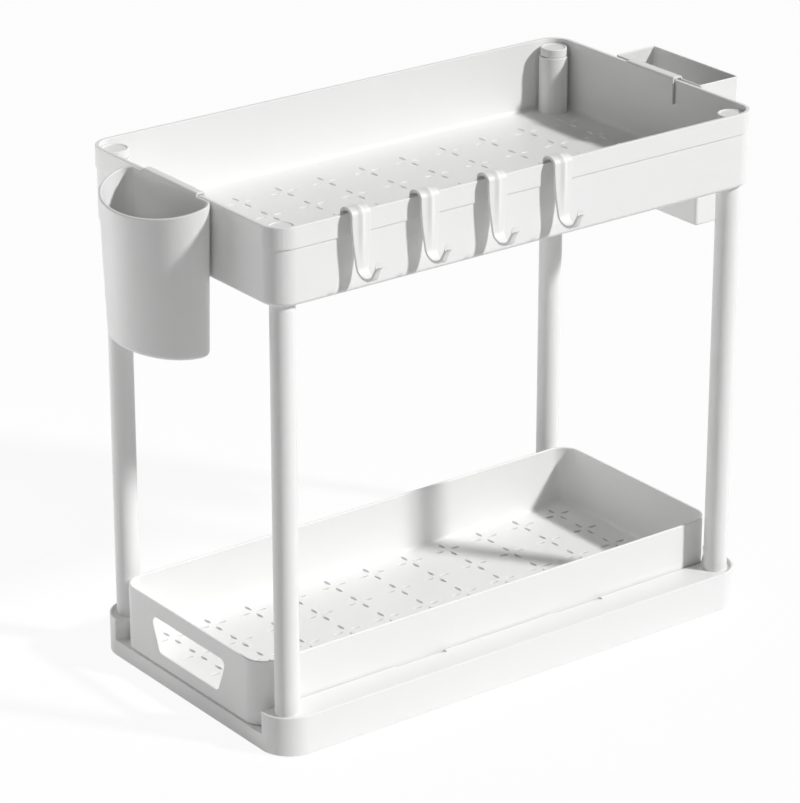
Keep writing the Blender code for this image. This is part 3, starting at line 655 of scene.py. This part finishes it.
# Hooks: four springy white strips. Each hangs over the front rim, stands off the band, narrows on
# its way down past a raised ridge, and curls forward into a bowl with a small forked tip.
HOOK_BODIES = ("hook_one", "hook_two", "hook_three", "hook_four")
HOOK_WIDTH = 0.0145
HOOK_THICKNESS = 0.002
HOOK_EDGE = 0.0006
HOOK_RIDGE_WIDTH = 0.0066
HOOK_RIDGE_HEIGHT = 0.0012
HOOK_LEG_DROP = 0.018
HOOK_RIM_GAP = 0.0003
HOOK_STANDOFF = 0.0068
HOOK_ARCH_RISE = 0.0035
HOOK_BOWL_RADIUS = 0.0073
HOOK_BOWL_DROP = 0.0321
HOOK_STRIP_LEAN = 0.001
HOOK_TIP_RISE = 0.0055
HOOK_TIP_LEAN = math.radians(28)
HOOK_LEG_STEPS = 4
HOOK_ARCH_STEPS = 28
HOOK_STRIP_STEPS = 20
HOOK_BOWL_STEPS = 28
HOOK_TIP_STEPS = 8
# Each row holds a share of the hook's length, and the share of its width, or of its ridge, that is there.
HOOK_WIDTH_SHARES = (
    (0.0, 1.0), (0.40, 1.0), (0.52, 0.90), (0.62, 0.74),
    (0.72, 0.58), (0.80, 0.44), (0.90, 0.32), (1.0, 0.25),
)
HOOK_RIDGE_SHARES = ((0.0, 0.0), (0.24, 0.0), (0.32, 1.0), (0.45, 1.0), (0.72, 0.0), (1.0, 0.0))
# Across the ridge: its points as shares of half its width, and the share that a flank takes.
HOOK_RIDGE_PLACES = (1.0, 0.66, 0.33, 0.1, 0.0, -0.1, -0.33, -0.66, -1.0)
HOOK_RIDGE_FLANK = 0.93
FORK_LENGTH = 0.0050
FORK_SPREAD = 0.0014
FORK_NOTCH = 0.0034
FORK_NOTCH_WIDTH = 0.0028


def share_at(shares, place):
    """Value at a place in a table of shares, in a straight line from row to row."""
    for (start, first), (end, last) in zip(shares, shares[1:]):
        if place <= end:
            return first + (last - first) * (place - start) / (end - start)
    return shares[-1][1]


def sweep(path, section_at):
    """Rings of a strip that follows a line in a plane: each section has its distances across and out."""
    lengths = [0.0]
    for before, after in zip(path, path[1:]):
        lengths.append(lengths[-1] + math.dist(before, after))
    rings = []
    for index, (u, z) in enumerate(path):
        before = Vector(path[max(index - 1, 0)])
        after = Vector(path[min(index + 1, len(path) - 1)])
        forward = (after - before).normalized()
        section = section_at(lengths[index], lengths[-1])
        rings.append([(across, u + forward.y * out, z - forward.x * out) for across, out in section])
    return rings


def hook_path():
    """Middle line of a hook: across from the tray's front face, and up from its rim."""
    leg_y = tray_inside + HOOK_RIM_GAP + HOOK_THICKNESS / 2
    arch_half = (leg_y + HOOK_STANDOFF) / 2
    arch_y = leg_y - arch_half
    path = []
    for step in range(HOOK_LEG_STEPS):
        path.append((leg_y, -HOOK_LEG_DROP + (HOOK_LEG_DROP + HOOK_RIM_GAP) * step / HOOK_LEG_STEPS))
    for step in range(HOOK_ARCH_STEPS + 1):
        turn = math.pi * step / HOOK_ARCH_STEPS
        path.append((arch_y + arch_half * math.cos(turn), HOOK_RIM_GAP + HOOK_ARCH_RISE * math.sin(turn)))
    for step in range(1, HOOK_STRIP_STEPS):
        share = step / HOOK_STRIP_STEPS
        drop = HOOK_RIM_GAP - (HOOK_BOWL_DROP + HOOK_RIM_GAP) * share
        path.append((-HOOK_STANDOFF - HOOK_STRIP_LEAN * share ** 2, drop))
    bowl_y = -HOOK_STANDOFF - HOOK_STRIP_LEAN - HOOK_BOWL_RADIUS
    for step in range(HOOK_BOWL_STEPS + 1):
        turn = (HOOK_TIP_LEAN - math.pi) * step / HOOK_BOWL_STEPS
        drop = -HOOK_BOWL_DROP + HOOK_BOWL_RADIUS * math.sin(turn)
        path.append((bowl_y + HOOK_BOWL_RADIUS * math.cos(turn), drop))
    root_y, root_z = path[-1]
    for step in range(1, HOOK_TIP_STEPS + 1):
        rise = (HOOK_TIP_RISE - HOOK_BOWL_DROP - root_z) * step / HOOK_TIP_STEPS
        path.append((root_y - rise * math.tan(HOOK_TIP_LEAN), root_z + rise))
    return path


def hook_section(place, length):
    """Cross-section of a hook at a place along it: a soft-edged strip with a ridge on its outer face."""
    share = place / length
    half = HOOK_WIDTH * share_at(HOOK_WIDTH_SHARES, share) / 2
    ridge = HOOK_RIDGE_HEIGHT * share_at(HOOK_RIDGE_SHARES, share)
    ridge_half = min(HOOK_RIDGE_WIDTH / 2, half - 2 * HOOK_EDGE)
    spread = FORK_SPREAD * max(0.0, 1 - (length - place) / FORK_LENGTH) ** 2
    face = HOOK_THICKNESS / 2 + spread
    corners = [(-half, -face, HOOK_EDGE), (half, -face, HOOK_EDGE), (half, face, HOOK_EDGE)]
    section = soften(corners + [(-half, face, HOOK_EDGE)], EDGE_STEPS, closed=True)
    right_edge = section[:3 * (EDGE_STEPS + 1)]
    left_edge = section[3 * (EDGE_STEPS + 1):]
    crest = []
    for across in HOOK_RIDGE_PLACES:
        rise = min(1 - abs(across), HOOK_RIDGE_FLANK) / HOOK_RIDGE_FLANK
        crest.append((across * ridge_half, face + ridge * rise))
    return right_edge + crest + left_edge


path = hook_path()
hook_rings = sweep(path, hook_section)
tip = Vector(path[-1])
forward = (tip - Vector(path[-2])).normalized()
out = Vector((forward.y, -forward.x))
notch = []
for reach, spread in ((-FORK_NOTCH, 0.0), (OVERRUN, FORK_NOTCH_WIDTH), (OVERRUN, -FORK_NOTCH_WIDTH)):
    notch.append(tip + forward * reach + out * spread)
for number, body in enumerate(HOOK_BODIES, 1):
    node = "hook_" + str(number)
    place = Vector((middle_of(node).x, tray_low.y, tray_high.z))
    rings = [[(place.x + across, place.y + y, place.z + z) for across, y, z in ring] for ring in hook_rings]
    hook = start_piece("rim_hook_" + str(number), [rings])
    notch_body = [
        [(place.x + side * HOOK_WIDTH, place.y + corner.x, place.z + corner.y) for corner in notch]
        for side in (-1, 1)
    ]
    carve(hook, [notch_body])
    fit_piece(hook, white, body, node)

# Cup: a D-shaped white moulding with its flat side against the tray's left end. A wide clip on the
# flat side bridges the rim, and its lip slopes down to the outside.
CUP_WALL = 0.002
CUP_FOOT_ROUND = 0.003
CUP_LIP_ROUND = 0.0008
CUP_FILLET = 0.003
CUP_CORNER_RADIUS = 0.008
CUP_SMALLEST_CORNER = 0.001
CUP_WIDTH_TAPER = 0.007
CUP_DEPTH_TAPER = 0.003
CUP_LIP_SLOPE = 0.010
CUP_LIP_FROM = 0.5
CUP_CORNER_STEPS = 10
CUP_ROUND_STEPS = 40
CUP_WIDTH = 0.096
CUP_DEPTH = 0.0425
CUP_CLIP_WIDTH = 0.060
CLIP_GAP = 0.0005
CLIP_THICKNESS = 0.0015
CLIP_DROP = 0.017
CLIP_OVERLAP = 0.008
CLIP_EDGE = 0.0004
CLIP_BEND = 0.0009
CLIP_BEND_STEPS = 6


def cup_ring(inset, height, low, high, back, middle_y):
    """One level of the cup: straight back, round corners, and half an oval in front.

    A level above the share CUP_LIP_FROM of the height belongs to the lip, which slopes down to the front.
    """
    share = (height - low) / (high - low)
    depth = CUP_DEPTH - CUP_DEPTH_TAPER * (1 - share) - 2 * inset
    half = (CUP_WIDTH - CUP_WIDTH_TAPER * (1 - share)) / 2 - inset
    corner = max(CUP_CORNER_RADIUS - inset, CUP_SMALLEST_CORNER)
    side = []
    for step in range(CUP_CORNER_STEPS):
        turn = math.pi / 2 * step / CUP_CORNER_STEPS
        side.append((corner * (1 - math.cos(turn)), half - corner * (1 - math.sin(turn))))
    for step in range(CUP_ROUND_STEPS):
        turn = math.pi / 2 * step / CUP_ROUND_STEPS
        side.append((corner + (depth - corner) * math.sin(turn), half * math.cos(turn)))
    outline = side + [(depth, 0.0)] + [(out, -across) for out, across in reversed(side)]
    ring = []
    for out, across in outline:
        reach = inset + out
        drop = CUP_LIP_SLOPE * reach / CUP_DEPTH if share > CUP_LIP_FROM else 0.0
        ring.append((back - reach, middle_y + across, height - drop))
    return ring


def rim_clip(side, back, wall, inner, middle_y, width):
    """Clip of a hanging piece: up from its back wall, over the tray's rim, and down inside it."""
    half = CLIP_THICKNESS / 2
    riser = back + wall / 2
    leg = inner - CLIP_GAP - half
    top = tray_high.z + CLIP_GAP + half
    line = soften(
        [(riser, tray_high.z - CLIP_OVERLAP, 0), (riser, top, CLIP_BEND), (leg, top, CLIP_BEND),
         (leg, tray_high.z - CLIP_DROP, 0)],
        CLIP_BEND_STEPS,
    )

    def clip_section(_place, _length):
        corners = [(-width / 2, -half), (width / 2, -half), (width / 2, half), (-width / 2, half)]
        return soften([(u, v, CLIP_EDGE) for u, v in corners], EDGE_STEPS, closed=True)

    rings = sweep(line, clip_section)
    return [[(base_middle.x + side * x, middle_y + across, z) for across, x, z in ring] for ring in rings]


cup_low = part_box("hanging_cup")[0]
cup_middle = middle_of("hanging_cup")
cup_back = cup_low.x + CUP_DEPTH
cup_deep = CUP_WALL + CUP_FILLET + CUP_FOOT_ROUND
cup_profile = soften(
    [
        (cup_deep, cup_low.z, 0), (0.0, cup_low.z, CUP_FOOT_ROUND),
        (0.0, tray_high.z, CUP_LIP_ROUND), (CUP_WALL, tray_high.z, CUP_LIP_ROUND),
        (CUP_WALL, cup_low.z + CUP_WALL, CUP_FILLET), (cup_deep, cup_low.z + CUP_WALL, 0),
    ],
    EDGE_STEPS,
)
cup_rings = [
    cup_ring(inset, height, cup_low.z, tray_high.z, cup_back, cup_middle.y) for inset, height in cup_profile
]
cup = start_piece("cup_shell", [cup_rings])
tray_inner_x = tray_half_x - tray_inside
carve(
    cup,
    [rim_clip(-1, base_middle.x - cup_back, CUP_WALL, tray_inner_x, cup_middle.y, CUP_CLIP_WIDTH)],
    "UNION",
)
fit_piece(cup, white, "cup", "hanging_cup")

# Bin: a narrow white box outside the tray's right end. It hangs from a clip over the rim, and
# stands a little off the end so that the rim's band clears it.
BIN_WALL = 0.0015
BIN_CORNER_RADIUS = 0.0025
BIN_FOOT_ROUND = 0.0015
BIN_LIP_ROUND = 0.0006
BIN_FILLET = 0.0018
BIN_DEPTH = 0.035
BIN_CLIP_WIDTH = 0.049
bin_low, bin_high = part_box("hanging_bin")
bin_back = bin_high.x - BIN_DEPTH
bin_middle = Vector((bin_back + BIN_DEPTH / 2, middle_of("hanging_bin").y))
bin_rings = open_box(
    bin_middle, BIN_DEPTH / 2, (bin_high.y - bin_low.y) / 2, BIN_CORNER_RADIUS, bin_low.z, tray_high.z,
    BIN_WALL, BIN_WALL, (BIN_FOOT_ROUND, BIN_LIP_ROUND, BIN_FILLET),
)
hanging_bin = start_piece("bin_shell", [bin_rings])
carve(
    hanging_bin,
    [rim_clip(1, bin_back - base_middle.x, BIN_WALL, tray_inner_x, bin_middle.y, BIN_CLIP_WIDTH)],
    "UNION",
)
fit_piece(hanging_bin, white, "bin", "hanging_bin")

# Floor: a wide white studio sheet that the shelf stands on. It stays white to the camera, keeps a
# faint shadow of the shelf, and is greyer where it throws light back onto the shelf.
FLOOR_SIZE = 12.0
FLOOR_SEEN_COLOUR = (1.0, 1.0, 1.0, 1.0)
FLOOR_BOUNCE_COLOUR = (0.88, 0.88, 0.88, 1.0)
FLOOR_GLOW_SHARE = 0.92
FLOOR_GLOW_STRENGTH = 1.0
BACKGROUND_RAYS = ("Is Camera Ray", "Is Glossy Ray", "Is Transmission Ray")


def background_seen(start):
    """Signal that is 1 for rays from the camera, from a glossy surface or through a clear one."""
    seen, mirrored, through = [start.node("ShaderNodeLightPath", {}, rays) for rays in BACKGROUND_RAYS]
    return seen + mirrored + through


floor_shape = bmesh.new()
bmesh.ops.create_grid(floor_shape, x_segments=1, y_segments=1, size=FLOOR_SIZE / 2)
floor_mesh = bpy.data.meshes.new("studio_floor")
floor_shape.to_mesh(floor_mesh)
floor_shape.free()
floor = bpy.data.objects.new("studio_floor", floor_mesh)
scene.collection.objects.link(floor)
floor_finish = bpy.data.materials.new("studio_floor")
floor_finish.use_nodes = True
floor_tree = floor_finish.node_tree
floor_tree.nodes.remove(floor_tree.nodes["Principled BSDF"])
floor_start = Signal(floor_tree)
seen = floor_start.node("ShaderNodeLightPath", {}, "Is Camera Ray")
floor_shade = floor_start.node(
    "ShaderNodeMix", {0: seen, 6: FLOOR_BOUNCE_COLOUR, 7: FLOOR_SEEN_COLOUR}, 2, data_type="RGBA"
)
matt = floor_start.node("ShaderNodeBsdfDiffuse", {"Color": floor_shade})
glow_sockets = {"Color": FLOOR_SEEN_COLOUR, "Strength": FLOOR_GLOW_STRENGTH}
glow = floor_start.node("ShaderNodeEmission", glow_sockets)
glow_share = background_seen(floor_start) * FLOOR_GLOW_SHARE
floor_mix = floor_start.node("ShaderNodeMixShader", {0: glow_share, 1: matt, 2: glow})
floor_start.feed(floor_tree.nodes["Material Output"], {"Surface": floor_mix})
floor_mesh.materials.append(floor_finish)

# Light: one soft sun from the front right, about 38 degrees up, a plain white surround that fills
# the shadows, and a small panel behind the shelf's left end that brightens its far left faces.
SUN_TOWARDS = Vector((0.85, -1.2, 1.15))
SUN_STRENGTH = 2.9
SUN_ANGLE = math.radians(5)
SURROUND_COLOUR = (1.0, 1.0, 1.0, 1.0)
SURROUND_STRENGTH = 0.15
SURROUND_SEEN_STRENGTH = 1.0
sun_lamp = bpy.data.lights.new("studio_sun", "SUN")
sun_lamp.energy = SUN_STRENGTH
sun_lamp.angle = SUN_ANGLE
sun = bpy.data.objects.new("studio_sun", sun_lamp)
sun.rotation_euler = SUN_TOWARDS.to_track_quat("Z", "Y").to_euler()
scene.collection.objects.link(sun)
PANEL_PLACE = Vector((-0.50, 0.50, 0.26))
PANEL_TOWARDS = Vector((0.62, -1.0, -0.10))
PANEL_SIZE = 0.45
PANEL_POWER = 1.3
panel_lamp = bpy.data.lights.new("studio_panel", "AREA")
panel_lamp.energy = PANEL_POWER
panel_lamp.size = PANEL_SIZE
panel = bpy.data.objects.new("studio_panel", panel_lamp)
panel.location = PANEL_PLACE
panel.rotation_euler = (-PANEL_TOWARDS).to_track_quat("Z", "Y").to_euler()
panel.visible_camera = False
scene.collection.objects.link(panel)
surround = bpy.data.worlds.new("studio_surround")
surround.use_nodes = True
scene.world = surround
sky = Signal(surround.node_tree)
strength = SURROUND_STRENGTH + background_seen(sky) * (SURROUND_SEEN_STRENGTH - SURROUND_STRENGTH)
sky.feed(surround.node_tree.nodes["Background"], {"Color": SURROUND_COLOUR, "Strength": strength})

# Camera: at the photograph's viewing angle, from the front left and above.
CAMERA_PLACE = Vector((-1.40434, -1.82477, 1.12893))
CAMERA_AZIMUTH = math.radians(-37.0)
CAMERA_ELEVATION = math.radians(22.6)
FOCAL_PIXELS = 3735.2
PHOTO_HEIGHT = 803
SENSOR_MM = 36.0
# The sensor's width spans the longer side of the picture, which is its height.
camera_data = bpy.data.cameras.new("photo_camera")
camera_data.sensor_width = SENSOR_MM
camera_data.lens = FOCAL_PIXELS * SENSOR_MM / PHOTO_HEIGHT
camera_data.clip_end = FLOOR_SIZE
camera = bpy.data.objects.new("photo_camera", camera_data)
camera.location = CAMERA_PLACE
camera.rotation_euler = (math.pi / 2 - CAMERA_ELEVATION, 0.0, CAMERA_AZIMUTH)
scene.collection.objects.link(camera)
scene.camera = camera
scene.view_settings.view_transform = "Standard"
